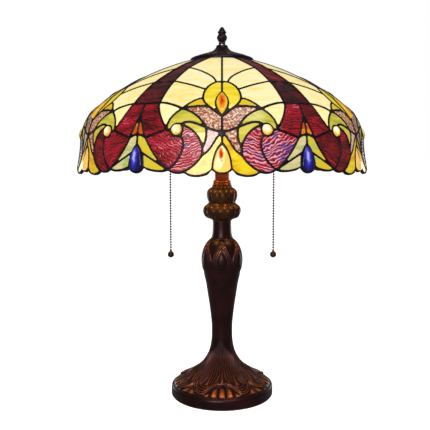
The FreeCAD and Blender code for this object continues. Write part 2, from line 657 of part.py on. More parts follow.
# ---------------------------------------------------------------- what carries the shade
def build_crown():
    save("shade_rod", turned([
        (0, CLUSTER_Z + 10), (ROD_R, CLUSTER_Z + 10), (ROD_R, CAP_TOP_Z - 5), (STUD_R, CAP_TOP_Z - 5),
        (STUD_R, FINIAL_TOP_Z - 16), (0, FINIAL_TOP_Z - 16)]))
    save("rod_nuts", Part.makeCompound([
        hex_nut(11, ROD_R, SPIDER_Z - 4, SPIDER_Z), hex_nut(11, ROD_R, SPIDER_Z + 3, SPIDER_Z + 7)]))
    spider = tube(9, ROD_R, SPIDER_Z, SPIDER_Z + 3).fuse(tube(43.5, 40.5, SPIDER_Z, SPIDER_Z + 3))
    for k in range(4):
        arm = Part.makeBox(35, 5, 3, Vector(7, -2.5, SPIDER_Z))
        arm.rotate(ORIGIN, UP, 45 + 90 * k)
        spider = spider.fuse(arm)
    save("shade_spider", spider.removeSplitter())
    save("crown_ring", turned([
        (40.5, SPIDER_Z + 3), (43.5, SPIDER_Z + 3), (43.5, 536), (45.9, 537.3), (48, 542),
        (48, CAP_SEAT_Z), (40.5, CAP_SEAT_Z)]))
    save("vase_cap", turned([
        (STUD_R + CLEAR, CAP_TOP_Z), (9, CAP_TOP_Z), (9.6, 563), [(13.6, 558.6), (20, 555.6)],
        [(34, 551.4), (44, 547.6)], [(48.6, 545.8), (50.6, 543)], (50.6, CAP_LIP_Z), (48.6, CAP_LIP_Z + 0.5),
        (48.6, CAP_SEAT_Z), (38, CAP_SEAT_Z), [(28, 549.6), (17, 553.2)], [(9, 557), (6.5, 562)],
        (STUD_R + CLEAR, 562)]))
    save("finial_washer", tube(5.8, STUD_R + CLEAR, CAP_TOP_Z, WASHER_TOP_Z))
    save("finial", turned([
        (STUD_R + 0.05, WASHER_TOP_Z), (5.6, WASHER_TOP_Z), [(5.1, 570), (5.6, 572)],
        [(8.3, 577.6), (6.4, 582.4)], (5.4, 584), [(7.1, 586), (5.6, 588.4)], [(4.3, 591.4), (2.6, 594)],
        [(1.7, 594.8), (0.8, FINIAL_TOP_Z)], (0, FINIAL_TOP_Z), (0, FINIAL_TOP_Z - 14),
        (STUD_R + 0.05, FINIAL_TOP_Z - 14)]))


build_lattice(build_shade())
build_foot()
build_stem()
build_cluster()
build_holders()
build_bulb()
build_chain()
build_crown()
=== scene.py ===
# %% [markdown]
# # A leaded glass table lamp
# The lamp has a domed shade of art glass held in solder, a cast stem with a bronze finish, and two
# bead chains that switch the bulbs. The metal frame, the panes' outlines and every moving part come
# from the CAD model. This lesson gives them their surfaces: relief on the castings, rounded solder,
# lit glass, and a finish for each kind of metal.

# %% Load the frame
import functools
import math
import random

import bmesh
import bpy
from mathutils import Matrix, Vector, noise


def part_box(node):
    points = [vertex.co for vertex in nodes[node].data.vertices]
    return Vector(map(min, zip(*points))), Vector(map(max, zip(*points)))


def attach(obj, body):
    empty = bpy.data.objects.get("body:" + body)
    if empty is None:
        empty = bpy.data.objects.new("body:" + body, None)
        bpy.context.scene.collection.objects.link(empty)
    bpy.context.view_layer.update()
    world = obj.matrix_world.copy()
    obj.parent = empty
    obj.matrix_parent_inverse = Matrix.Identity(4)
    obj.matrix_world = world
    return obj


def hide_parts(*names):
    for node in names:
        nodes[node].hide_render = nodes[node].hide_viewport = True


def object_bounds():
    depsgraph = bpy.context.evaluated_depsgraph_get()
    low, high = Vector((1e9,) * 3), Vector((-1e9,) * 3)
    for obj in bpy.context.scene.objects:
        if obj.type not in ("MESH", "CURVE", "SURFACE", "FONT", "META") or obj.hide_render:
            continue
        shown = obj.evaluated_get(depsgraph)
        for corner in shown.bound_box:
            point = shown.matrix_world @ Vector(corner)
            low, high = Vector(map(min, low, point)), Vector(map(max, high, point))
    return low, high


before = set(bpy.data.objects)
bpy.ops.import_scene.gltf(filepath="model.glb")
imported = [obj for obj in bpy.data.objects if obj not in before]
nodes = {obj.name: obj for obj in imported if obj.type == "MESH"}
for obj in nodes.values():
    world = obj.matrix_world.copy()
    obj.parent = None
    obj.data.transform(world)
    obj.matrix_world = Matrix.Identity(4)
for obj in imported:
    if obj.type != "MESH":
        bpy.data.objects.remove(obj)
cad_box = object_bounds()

MM = 0.001

# %% [markdown]
# ## The camera and the light
# The lamp stands on a pale floor in front of a camera a metre away, at about the height of the
# shade's rim and tipped down a little, so the dome's front shows and the foot reads as a disc.

# %% Camera
lamp_height = cad_box[1].z
camera_data = bpy.data.cameras.new("camera")
camera_data.lens = 54.42
camera_data.sensor_width = 36
camera_data.shift_x = -0.0163
camera = bpy.data.objects.new("camera", camera_data)
camera.location = (0, -1.052, 0.391)
camera.rotation_euler = (math.pi / 2 - 0.09, 0, 0)
bpy.context.scene.collection.objects.link(camera)
bpy.context.scene.camera = camera
print("camera looks at the lamp from", tuple(round(v, 3) for v in camera.location))


# %% [markdown]
# ## Helpers for materials
# A shader is a small tree of nodes. One function adds a node, sets its values and makes its links,
# so each finish below reads from top to bottom. Colours are written as on a paint card, in sRGB
# hex, and turned to the linear values that the renderer works in.

# %% Colour and node helpers
def linear(hex_colour, alpha=1.0):
    channels = [int(hex_colour[k:k + 2], 16) / 255 for k in (1, 3, 5)]
    return (*[c / 12.92 if c <= 0.04045 else ((c + 0.055) / 1.055) ** 2.4 for c in channels], alpha)


def add(tree, kind, sockets=None, **settings):
    """Adds a node. A socket's value is a number, a colour or another node's output to link."""
    made = tree.nodes.new(kind)
    for key, value in settings.items():
        setattr(made, key, value)
    for key, value in (sockets or {}).items():
        if isinstance(value, bpy.types.NodeSocket):
            tree.links.new(value, made.inputs[key])
        else:
            made.inputs[key].default_value = value
    return made


def new_material(name):
    material = bpy.data.materials.new(name)
    material.use_nodes = True
    material.node_tree.nodes.clear()
    return material, material.node_tree


def ramp(tree, factor, stops):
    """A colour ramp from (position, hex colour) stops."""
    made = add(tree, "ShaderNodeValToRGB", {"Fac": factor})
    bar = made.color_ramp
    while len(bar.elements) < len(stops):
        bar.elements.new(0.5)
    for element, (place, colour) in zip(bar.elements, stops):
        element.position = place
        element.color = linear(colour)
    return made.outputs["Color"]


def finish_tree(tree, shader):
    add(tree, "ShaderNodeOutputMaterial", {"Surface": shader.outputs[0]})


def per_mm(size):
    """The noise scale whose features are about that many millimetres across."""
    return 1 / (size * MM)


print("red #B31E35 is", [round(c, 3) for c in linear("#B31E35")], "in linear light")

# %% [markdown]
# ## Cast zinc with a bronze finish
# The stem and foot are cast zinc, plated dark and then rubbed, so copper shows on what stands
# proud and the hollows stay nearly black. The relief functions below write how much each point is
# rubbed into an attribute, and this finish reads it. Polished tube and the gilded knops have no such
# wear, so they are given no rubbed colour.


# %% Bronze finish
def bronze(name, dark, light, roughness, rubbed_through=None):
    """Dark and light cloud together. The third colour shows where the relief has been rubbed."""
    worn_finish = rubbed_through is not None
    spread = 0.07 if worn_finish else 0.01
    material, tree = new_material(name)
    place = add(tree, "ShaderNodeTexCoord").outputs["Object"]
    cloud = add(tree, "ShaderNodeTexNoise", {"Vector": place, "Scale": per_mm(30), "Detail": 3.0})
    grit = add(tree, "ShaderNodeTexNoise", {"Vector": place, "Scale": per_mm(2.2), "Detail": 4.0})
    colour = ramp(tree, cloud.outputs["Fac"], [(0.35, dark), (0.68, light)])
    if worn_finish:
        rubbed = add(tree, "ShaderNodeAttribute", attribute_name="rubbed").outputs["Fac"]
        worn = add(tree, "ShaderNodeMath", {0: rubbed, 1: grit.outputs["Fac"]}, operation="MULTIPLY")
        worn = add(tree, "ShaderNodeMath", {0: worn.outputs[0], 1: 3.0}, operation="MULTIPLY", use_clamp=True)
        wiped = ramp(tree, rubbed, [(0.1, light), (0.45, "#7C4234"), (0.8, rubbed_through)])
        colour = add(tree, "ShaderNodeMix", {
            "Factor": worn.outputs[0], "A": colour, "B": wiped}, data_type="RGBA").outputs["Result"]
    rough = add(tree, "ShaderNodeMapRange", {
        "Value": grit.outputs["Fac"], "From Min": 0.3, "From Max": 0.7,
        "To Min": roughness - spread, "To Max": roughness + spread})
    bump = add(tree, "ShaderNodeBump", {
        "Height": grit.outputs["Fac"], "Strength": 0.2 if worn_finish else 0.02, "Distance": 0.2 * MM})
    shader = add(tree, "ShaderNodeBsdfPrincipled", {
        "Base Color": colour, "Metallic": 0.7, "Roughness": rough.outputs["Result"],
        "Normal": bump.outputs["Normal"]})
    finish_tree(tree, shader)
    return material


cast_bronze = bronze("bronzed cast zinc", "#1C0C0C", "#341418", 0.33, rubbed_through="#C0702C")
dark_bronze = bronze("blackened cast zinc", "#15101A", "#241A26", 0.32, rubbed_through="#5A4038")
gilded_bronze = bronze("gilded bronze finish", "#2C180C", "#563216", 0.36)
copper = bronze("lacquered copper tube", "#6A2A0E", "#9A4A18", 0.24)
print("bronze finishes:", [m.name for m in (cast_bronze, dark_bronze, gilded_bronze, copper)])


# %% [markdown]
# ## Helpers for turned castings
# Every casting starts as a profile: half of its outline, as a turner would cut it. Spinning the
# profile round the stem's axis gives the plain shape. The leaves, lobes and flutes are then raised
# by moving each vertex along its normal, which is what a chaser does with a punch.

# %% Profile and lathe
def smooth_line(points, step):
    """Points about a step apart on a smooth curve through the given ones."""
    before = 2 * Vector(points[0]) - Vector(points[1])
    after = 2 * Vector(points[-1]) - Vector(points[-2])
    path = [before, *map(Vector, points), after]
    line = []
    for a, b, c, d in zip(path, path[1:], path[2:], path[3:]):
        count = max(1, round((c - b).length / step))
        for k in range(count):
            t = k / count
            line.append(0.5 * (2 * b + (c - a) * t + (2 * a - 5 * b + 4 * c - d) * t * t
                               + (3 * b - a - 3 * c + d) * t ** 3))
    return line + [Vector(points[-1])]


def lathe(runs, around, step):
    """Spins a profile in mm about Z. Each run is smooth, and runs meet at corners."""
    bm = bmesh.new()
    line = []
    for run in runs:
        points = smooth_line(run, step) if len(run) > 2 else [Vector(p) for p in run]
        line += points if not line or (points[0] - line[-1]).length > 0.001 else points[1:]
    closed = (line[0] - line[-1]).length < 0.001
    if closed:
        line = line[:-1]
    verts = [bm.verts.new((p.x * MM, 0, p.y * MM)) for p in line]
    pairs = list(zip(verts, verts[1:])) + ([(verts[-1], verts[0])] if closed else [])
    edges = [bm.edges.new(pair) for pair in pairs]
    bmesh.ops.spin(bm, geom=verts + edges, cent=(0, 0, 0), axis=(0, 0, 1), angle=2 * math.pi,
                   steps=around, use_merge=True)
    bmesh.ops.remove_doubles(bm, verts=bm.verts[:], dist=0.01 * MM)
    bmesh.ops.recalc_face_normals(bm, faces=bm.faces[:])
    return bm


def raise_relief(bm, relief):
    """Moves outward-facing points along their normals, and stores how rubbed each point is."""
    layer = bm.verts.layers.float.new("rubbed")
    bm.normal_update()
    moves = []
    for vert in bm.verts:
        x, y, z = vert.co / MM
        radius = math.hypot(x, y)
        angle = math.degrees(math.atan2(x, -y))
        facing = vert.normal.z + (vert.normal.x * x + vert.normal.y * y) / max(radius, 0.01)
        if facing > 0.1:
            height, rub = relief(angle, radius, z)
            moves.append((vert, vert.normal * height * MM))
            vert[layer] = rub
    for vert, move in moves:
        vert.co += move


def finish_piece(bm, name, body, material, stands_for=(), smooth=True):
    """Turns a bmesh into an object that rides on a body and stands for CAD nodes."""
    mesh = bpy.data.meshes.new(name)
    bm.to_mesh(mesh)
    bm.free()
    piece = bpy.data.objects.new(name, mesh)
    bpy.context.scene.collection.objects.link(piece)
    mesh.materials.append(material)
    if smooth:
        mesh.shade_smooth()
        mesh.set_sharp_from_angle(angle=math.radians(62))
    else:
        mesh.shade_flat()
    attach(piece, body)
    if stands_for:
        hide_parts(*stands_for)
    print(f"{name}: {len(mesh.polygons)} faces")
    return piece


def smoothstep(low, high, value):
    t = min(1, max(0, (value - low) / (high - low)))
    return t * t * (3 - 2 * t)


# %% [markdown]
# ## The foot
# The foot is a round casting that flares out of the stem. A leaf apron lies over it, with eight
# lobes in four pairs. Fine lines are cut round each lobe and run on up the flare like hair. Between
# the apron and the plain rim is a ring of fluted pockets, where the copper is rubbed brightest.

# %% Foot relief
LOBE_AT = 23.5              # the lobe's centre, in degrees from the wide arch; the notch is at 45
ARCH_RADIUS = 59
LOBE_LENGTH = 17.5
APRON_HEIGHT = 3.0
LINES = 4                 # cut lines on each half of a lobe
POCKETS = 36
POCKET_END = 79.2


def lobe_reach(folded):
    """How far down a lobe the apron's outline is, from 0 at the arch and the notch to 1 at the tip."""
    if folded < LOBE_AT:
        return smoothstep(0, 1, (folded / LOBE_AT) ** 2.2)
    return max(0, 1 - ((folded - LOBE_AT) / (45 - LOBE_AT)) ** 2.2) ** 0.8


OUTLINE = [(math.radians(k / 2), ARCH_RADIUS + LOBE_LENGTH * lobe_reach(k / 2)) for k in range(91)]
OUTLINE = [Vector((r * math.sin(t), r * math.cos(t))) for t, r in OUTLINE]


@functools.lru_cache(maxsize=None)
def apron_depth(folded, radius):
    """How far a point is inside the apron's outline, in mm; negative outside it."""
    here = Vector((radius * math.sin(math.radians(folded)), radius * math.cos(math.radians(folded))))
    gap = min((here - point).length for point in OUTLINE)
    return gap if radius < ARCH_RADIUS + LOBE_LENGTH * lobe_reach(folded) else -gap


def foot_relief(angle, radius, z):
    folded = abs((angle + 45) % 90 - 45)
    round_lobe = 1 - lobe_reach(folded) + max(0, (radius - ARCH_RADIUS) / LOBE_LENGTH)
    up_flare = 1 - folded / LOBE_AT if folded < LOBE_AT else (folded - LOBE_AT) / (45 - LOBE_AT)
    hair = smoothstep(ARCH_RADIUS + 2, 40, radius)
    level = round_lobe + (up_flare - round_lobe) * hair
    inside = apron_depth(round(folded, 1), round(radius, 1))
    on_apron = smoothstep(-0.6, 0.9, inside)
    fade = smoothstep(16.6, 24, radius)
    border = smoothstep(2.1, 1.3, inside) + smoothstep(1.2, 0.5, abs(inside - 4.0))
    strand = abs(math.cos(math.pi * LINES * level)) ** 2
    strand = strand * smoothstep(4.8, 6.4, inside) + (1 - smoothstep(4.8, 6.4, inside)) * border
    depth = 0.9 + 0.7 * smoothstep(25, 50, radius)
    apron = APRON_HEIGHT * smoothstep(20, 50, radius) + (strand - 0.8) * depth * fade
    pocket = abs(math.cos(math.radians(angle * POCKETS / 2))) ** 0.5
    pocket *= smoothstep(POCKET_END, POCKET_END - 2, radius) * smoothstep(-0.3, -2.5, inside)
    height = on_apron * apron + (1 - on_apron) * (1.5 * pocket - 0.5)
    # The rubbed colour is made brighter towards the rim.
    apron_rub = on_apron * fade * strand ** 2 * (0.46 + 0.22 * smoothstep(50, 72, radius))
    rub = apron_rub + (1 - on_apron) * pocket ** 3 * (0.4 + 0.45 * smoothstep(60, 77, radius))
    if radius > POCKET_END + 0.5:
        height, rub = 0.0, 0.0
    return height, rub


# %% Foot casting
foot_low, foot_high = (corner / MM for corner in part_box("foot_casting"))
rim = foot_high.x
foot = lathe([
    [(16.8, foot_high.z), (17.2, 92), (19, 80), (21.7, 70), (26.5, 60), (33, 50), (41, 41.5), (51, 34), (63, 27),
     (74, 21.5), (80.5, 17.8)],
    [(80.5, 17.8), (82.6, 16.4), (rim, 13.8), (rim, 11)],
    [(rim, 11), (rim, foot_low.z)],
    [(rim, foot_low.z), (79, foot_low.z)],
    [(79, foot_low.z), (79, 12), (60, 18), (30, 40), (13, 96)],
    [(13, 96), (13, foot_high.z)],
    [(13, foot_high.z), (16.8, foot_high.z)]], around=720, step=1.1)
raise_relief(foot, foot_relief)
finish_piece(foot, "foot_with_leaf_apron", "lamp", cast_bronze, ["foot_casting"])

# %% [markdown]
# ## The stem
# The stem is a slender vase. Six pointed leaves wrap its shoulder, each with a raised edge, two
# pointed lines inside it and a smooth bud in the middle.

# %% Leaf casting
LEAVES = 6
LEAF_TIP = 257
LEAF_FOOT = 204
LEAF_WIDEST = 224
LEAF_HALF_ANGLE = 29.5


def leaf_width(z):
    """Half the leaf's width in degrees at a height: round below, and an ogive to the tip above."""
    if not LEAF_FOOT < z < LEAF_TIP:
        return 0.0
    if z < LEAF_WIDEST:
        return LEAF_HALF_ANGLE * math.sqrt(1 - ((LEAF_WIDEST - z) / (LEAF_WIDEST - LEAF_FOOT)) ** 2)
    return LEAF_HALF_ANGLE * (1 - ((z - LEAF_WIDEST) / (LEAF_TIP - LEAF_WIDEST)) ** 1.5)


def leaf_relief(angle, radius, z):
    pitch = 360 / LEAVES
    folded = abs((angle + pitch / 2) % pitch - pitch / 2)
    inside = (leaf_width(z) - folded) * math.radians(1) * radius * 0.8
    on_leaf = smoothstep(0, 1.0, inside) if leaf_width(z) else 0.0
    ridge = sum(smoothstep(0.9, 0.2, abs(inside - depth)) for depth in (1.2, 3.7, 6.2))
    bud = smoothstep(7.0, 11, inside)
    upper = smoothstep(208, 246, z)
    height = on_leaf * (0.8 + 0.9 * ridge * (0.3 + 0.7 * upper) + 1.1 * bud)
    height -= 0.9 * smoothstep(198, 206, z) * smoothstep(264, 257, z)
    # The rub grows towards the top of the leaves, and a band above their tips is lighter too: worn ridges, with a
    # painted highlight where the shoulder turns up.
    return height, on_leaf * ridge * (0.12 + 0.5 * upper) + 0.12 * smoothstep(256, 264, z)


stem_low, stem_high = (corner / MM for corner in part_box("leaf_casting"))
stem = lathe([
    [(16.8, stem_low.z), (16.9, 115), (17.8, 126), (20.2, 146), (23.2, 166), (26.3, 186), (29.6, 200), (32.2, 210),
     (33.2, 219), (33, 228), (31.3, 238), (28, 248), (23, 255), (18.6, 259), (16.2, 264), (15.4, 270), (15.1, 278),
     (15.1, stem_high.z)],
    [(15.1, stem_high.z), (8, stem_high.z)],
    [(8, stem_high.z), (8, stem_low.z)],
    [(8, stem_low.z), (16.8, stem_low.z)]], around=360, step=1.1)
raise_relief(stem, leaf_relief)
finish_piece(stem, "stem_with_leaves", "lamp", cast_bronze, ["leaf_casting"])

# %% [markdown]
# ## The knops
# Above the stem are two turned swellings, cast like gathered cloth: ten lobes with a crease between
# each pair. They are gilded, and the light of the bulbs falls on their tops from above.


# %% Lobed and fluted knops
KNOP_LOBES = 10


def lobes(turn, depth, low, high):
    def relief(angle, radius, z):
        swell = smoothstep(low, low + 5, z) * smoothstep(high, high - 5, z)
        bulge = abs(math.cos(math.radians((angle - turn) * KNOP_LOBES / 2))) ** 0.55
        return depth * (bulge - 1) * swell, 0.0

    return relief


def knop(name, node, runs, turn, depth):
    low, high = (corner.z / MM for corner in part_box(node))
    bm = lathe(runs(low, high), around=240, step=0.8)
    raise_relief(bm, lobes(turn, depth, low, high))
    finish_piece(bm, name, "lamp", gilded_bronze, [node])


knop("lobed_knop_cast", "lobed_knop", lambda low, high: [
    [(15.1, low), (15.3, low + 1.5), (18.7, low + 4), (24.5, low + 6), (28.8, low + 10), (31, low + 15), (31, low + 20),
     (28.8, low + 24.6), (25, low + 27.6), (21.4, high)],
    [(21.4, high), (8, high)], [(8, high), (8, low)], [(8, low), (15.1, low)]], turn=-4, depth=2.6)
knop("fluted_knop_cast", "fluted_knop", lambda low, high: [
    [(21.4, low), (22.8, low + 3), (24.5, low + 7.5), (25.1, low + 12), (24.5, low + 17), (22.6, low + 20.5),
     (19.4, low + 23.4), (16.4, low + 25.4), (15.4, high)],
    [(15.4, high), (8, high)], [(8, high), (8, low)], [(8, low), (21.4, low)]], turn=9, depth=2.2)


# %% [markdown]
# ## Neck ring and copper sleeve
# A turned ring finishes the castings, and a copper tube covers the lamp pipe from there up into the
# shade. Both catch the light of the bulbs.

# %% Ring and sleeve
ring_low, ring_high = (corner.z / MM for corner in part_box("neck_ring"))
ring = lathe([
    [(14.4, ring_low), (15.1, ring_low + 0.8), (15.1, ring_low + 2), (13.6, ring_low + 3.2)],
    [(13.6, ring_low + 3.2), (14.2, ring_low + 4), (14.2, ring_low + 6), (12.9, ring_low + 7.2), (12.2, ring_high)],
    [(12.2, ring_high), (8, ring_high)], [(8, ring_high), (8, ring_low)], [(8, ring_low), (14.4, ring_low)]],
    around=96, step=0.4)
finish_piece(ring, "turned_neck_ring", "lamp", copper, ["neck_ring"])
sleeve_low, sleeve_high = (corner.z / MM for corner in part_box("copper_sleeve"))
sleeve = lathe([
    [(11.4, sleeve_low), (11.8, sleeve_low + 0.4)], [(11.8, sleeve_low + 0.4), (11.8, sleeve_high)],
    [(11.8, sleeve_high), (10.4, sleeve_high)], [(10.4, sleeve_high), (10.4, sleeve_low)],
    [(10.4, sleeve_low), (11.4, sleeve_low)]], around=96, step=1)
finish_piece(sleeve, "copper_neck_tube", "lamp", copper, ["copper_sleeve"])

# %% [markdown]
# ## Vase cap and finial
# The cap closes the top of the shade. It is a concave disc of blackened metal with shallow gadroons.
# The finial that screws down on it is a small turned bud on a fluted neck.


# %% Vase cap
def cap_relief(angle, radius, z):
    flutes = abs(math.cos(math.radians(angle * 12))) ** 0.7
    turned = Vector((radius * math.sin(math.radians(angle)), radius * math.cos(math.radians(angle)), z))
    grain = noise.noise(turned * 0.35)
    amount = smoothstep(10, 20, radius) * smoothstep(49, 44, radius)
    return amount * (0.7 * flutes - 0.9 + 0.35 * grain), 0.35 * flutes * amount + 0.1


cap_lowest, cap_highest = (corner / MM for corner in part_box("vase_cap"))
cap_low, cap_high, cap_lip = cap_lowest.z, cap_highest.z, cap_highest.x
cap = lathe([
    [(4, cap_high), (8.6, cap_high)],
    [(8.6, cap_high), (9.2, cap_high - 1.2), (9.6, 563), (12.2, 559.8), (16, 557.2), (22, 554.8), (30, 552.4),
     (38, 549.9), (44, 547.7), (47.6, 546.3), (49.7, 544.7), (cap_lip, 543)],
    [(cap_lip, 543), (cap_lip, cap_low)], [(cap_lip, cap_low), (48.4, cap_low + 0.4)],
    [(48.4, cap_low + 0.4), (48.4, 543.4), (38, 545), (20, 552), (9, 557), (4, 562)],
    [(4, 562), (4, cap_high)]], around=288, step=0.9)
raise_relief(cap, cap_relief)
finish_piece(cap, "gadrooned_cap", "lamp", dark_bronze, ["vase_cap"])


# %% Finial
def finial_relief(angle, radius, z):
    flutes = abs(math.cos(math.radians(angle * 5)))
    on_neck = smoothstep(finial_low + 6, finial_low + 3, z)
    on_bud = smoothstep(finial_low + 6, finial_low + 8, z) * smoothstep(finial_low + 15, finial_low + 13, z)
    return (flutes - 1) * (0.7 * on_neck + 0.5 * on_bud), 0.25 * flutes


finial_low, finial_high = (corner.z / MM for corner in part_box("finial"))
finial = lathe([
    [(0, finial_high - 13.5), (3.4, finial_high - 13.5)], [(3.4, finial_high - 13.5), (3.4, finial_low)],
    [(3.4, finial_low), (5.5, finial_low)],
    [(5.5, finial_low), (5.6, finial_low + 1), (5.1, finial_low + 2.6), (5.5, finial_low + 4.4), (7.1, finial_low + 7),
     (8.2, finial_low + 10), (7.9, finial_low + 12.6), (6.2, finial_low + 15.2), (5.4, finial_low + 16.6),
     (6.9, finial_low + 18.2), (6.6, finial_low + 19.8), (5.2, finial_low + 21.6), (3.9, finial_low + 24),
     (2.6, finial_low + 26.2), (1.2, finial_high - 0.2), (0, finial_high)]], around=96, step=0.5)
raise_relief(finial, finial_relief)
finish_piece(finial, "fluted_finial", "finial", dark_bronze, ["finial"])

# %% [markdown]
# ## The solder between the panes
# Each pane's edge is wrapped in copper foil, and the foils are joined by running solder over them.
# Molten solder pulls itself round, so a lead is a rounded bead that swells where several meet. The
# CAD lattice has square edges. Rebuilding it from small voxels and smoothing it rounds the leads and
# fills their corners as surface tension does, and a slight swelling makes up for what that takes off.


# %% Rounding by voxels
def merged_copy(node):
    bm = bmesh.new()
    bm.from_mesh(nodes[node].data)
    bmesh.ops.remove_doubles(bm, verts=bm.verts[:], dist=0.002 * MM)
    return bm


def rounded(bm, voxel, passes, swell, keep=1.0):
    """A smooth copy of a closed mesh, rebuilt from voxels that many millimetres across."""
    mesh = bpy.data.meshes.new("rounding")
    bm.to_mesh(mesh)
    bm.free()
    worker = bpy.data.objects.new("rounding", mesh)
    bpy.context.scene.collection.objects.link(worker)
    remesh = worker.modifiers.new("voxels", "REMESH")
    remesh.mode = "VOXEL"
    remesh.voxel_size = voxel * MM
    relax = worker.modifiers.new("relax", "SMOOTH")
    relax.iterations = passes
    relax.factor = 0.5
    grow = worker.modifiers.new("grow", "DISPLACE")
    grow.strength = swell * MM
    grow.mid_level = 0
    if keep < 1:
        thin = worker.modifiers.new("thin", "DECIMATE")
        thin.ratio = keep
    bpy.context.view_layer.update()
    made = bpy.data.meshes.new_from_object(worker.evaluated_get(bpy.context.evaluated_depsgraph_get()))
    bpy.data.objects.remove(worker)
    result = bmesh.new()
    result.from_mesh(made)
    bpy.data.meshes.remove(made)
    return result


# %% Patinated solder
def solder_finish():
    """Tin and lead solder blackened with acid: dark, faintly violet, brighter where wiped."""
    material, tree = new_material("patinated solder")
    place = add(tree, "ShaderNodeTexCoord").outputs["Object"]
    cloud = add(tree, "ShaderNodeTexNoise", {"Vector": place, "Scale": per_mm(14), "Detail": 3.0})
    grit = add(tree, "ShaderNodeTexNoise", {"Vector": place, "Scale": per_mm(1.8), "Detail": 3.0})
    colour = ramp(tree, cloud.outputs["Fac"], [(0.35, "#1A1214"), (0.6, "#2C1E22"), (0.75, "#4A343A")])
    rough = add(tree, "ShaderNodeMapRange", {"Value": grit.outputs["Fac"], "To Min": 0.28, "To Max": 0.55})
    bump = add(tree, "ShaderNodeBump", {"Height": grit.outputs["Fac"], "Strength": 0.3, "Distance": 0.3 * MM})
    finish_tree(tree, add(tree, "ShaderNodeBsdfPrincipled", {
        "Base Color": colour, "Metallic": 0.75, "Roughness": rough.outputs["Result"],
        "Normal": bump.outputs["Normal"]}))
    return material


solder = solder_finish()

# %% Solder pieces
CUT_ANGLE = math.radians(12)     # the two halves part where few leads run along the cut
lattice = rounded(merged_copy("lead_lattice"), voxel=1.0, passes=3, swell=0.16, keep=0.6)
cut_normal = Vector((math.cos(CUT_ANGLE), math.sin(CUT_ANGLE), 0))
for side_name, keep_outer in (("a", True), ("b", False)):
    half = lattice.copy()
    cut = bmesh.ops.bisect_plane(half, geom=half.verts[:] + half.edges[:] + half.faces[:], plane_co=(0, 0, 0),
                                 plane_no=cut_normal, clear_inner=keep_outer, clear_outer=not keep_outer)
    rim_edges = [e for e in cut["geom_cut"] if isinstance(e, bmesh.types.BMEdge)]
    bmesh.ops.holes_fill(half, edges=rim_edges)
    finish_piece(half, "solder_lines_" + side_name, "lamp", solder, ["lead_lattice"])
lattice.free()

# %% [markdown]
# ## Panes of art glass
# Each pane is a few millimetres of rolled glass whose colour was stirred in while it was molten, so
# its streaks follow the sheet it was cut from. The panes keep their CAD shapes. What is added is a
# map for each pane, laid flat on it in real millimetres, and three numbers: how strongly the bulbs
# light it from behind, how its tone differs from its neighbours', and which way its grain runs.

# %% Maps and marks for panes
REPEAT = 60                 # degrees from one copy of the shade's pattern to the next
GLOW_EVERYWHERE = 0.62
GLOW_BY_BULB = 0.36
GLOW_MOST = 1.2
# SIDE_GLOW sets a painted shade on panes that face sideways from the front.
SIDE_GLOW = 0.45            # what is left of the glow on panes that face sideways
BULB_REACH = 0.011          # square metres, with BULB_SPREAD: how the bulbs' light falls off
BULB_SPREAD = 0.006
BULBS = [sum(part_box(side + "_bulb_globe"), Vector()) / 2 for side in ("left", "right")]


def islands(bm):
    """The separate panes in a mesh, each as a list of vertices."""
    left = set(bm.verts)
    found = []
    while left:
        stack = [next(iter(left))]
        left.discard(stack[0])
        group = []
        while stack:
            vert = stack.pop()
            group.append(vert)
            for edge in vert.link_edges:
                other = edge.other_vert(vert)
                if other in left:
                    left.discard(other)
                    stack.append(other)
        found.append(group)
    return sorted(found, key=lambda g: tuple(round(v, 4) for v in centre_of(g)))


def centre_of(group):
    return sum((v.co for v in group), Vector()) / len(group)


def pane_place(centre):
    """(angle from the front, angle within its repeat, height in mm) of a pane's centre."""
    angle = math.degrees(math.atan2(centre.x, -centre.y))
    return angle, (angle + REPEAT / 2) % REPEAT - REPEAT / 2, centre.z / MM


def pane_axes(group, centre):
    faces = {face for vert in group for face in vert.link_faces}
    away = Vector((centre.x, centre.y, 0)).normalized() + Vector((0, 0, 0.6))
    out = sum((f.normal * f.calc_area() for f in faces if f.normal.dot(away) > 0.5), Vector()).normalized()
    across = Vector((0, 0, 1)).cross(out).normalized()
    return out, across, across.cross(out)


def mark_panes(bm, seed, grain, tone, scatter=1.0):
    """Writes each pane's map and its glow and tone."""
    draw = random.Random(seed)
    bm.normal_update()
    flat = bm.loops.layers.uv.new("pane")
    glow_layer = bm.verts.layers.float.new("glow")
    tone_layer = bm.verts.layers.float.new("tone")
    for group in islands(bm):
        centre = centre_of(group)
        angle, local, height = pane_place(centre)
        out, across, down = pane_axes(group, centre)
        turn = Matrix.Rotation(math.radians(grain(angle, local, height)), 2)
        shift = Vector((draw.uniform(-1, 1), draw.uniform(-1, 1))) * scatter
        pane_tone = min(1, max(0, tone(angle, local, height) + draw.uniform(-0.1, 0.1)))
        # Panes are painted darker the more they face sideways from the front: a painted shade in their glow.
        facing = abs(math.cos(math.radians(angle)))
        share = SIDE_GLOW + (1 - SIDE_GLOW) * smoothstep(0.3, 0.75, facing)
        for vert in group:
            lit = sum(BULB_REACH / (BULB_SPREAD + (vert.co - bulb).length_squared) for bulb in BULBS)
            vert[glow_layer] = min(GLOW_MOST, GLOW_EVERYWHERE + GLOW_BY_BULB * lit) * share
            vert[tone_layer] = pane_tone
            offset = vert.co - centre
            spot = turn @ Vector((offset.dot(across), offset.dot(down))) + shift
            for loop in vert.link_loops:
                loop[flat].uv = spot


# %% [markdown]
# ## The glass itself
# Opalescent glass has a milky body, so it glows evenly when lit from behind. Its finish is a dark
# body colour under a clear, fire-polished surface, plus the light that comes through, in the same
# streaked colour. Rolled textures are bump: ripple glass has close parallel waves, and granite glass
# has a pebbled face.

# %% Art glass finish
RIPPLE_PITCH = 3.9


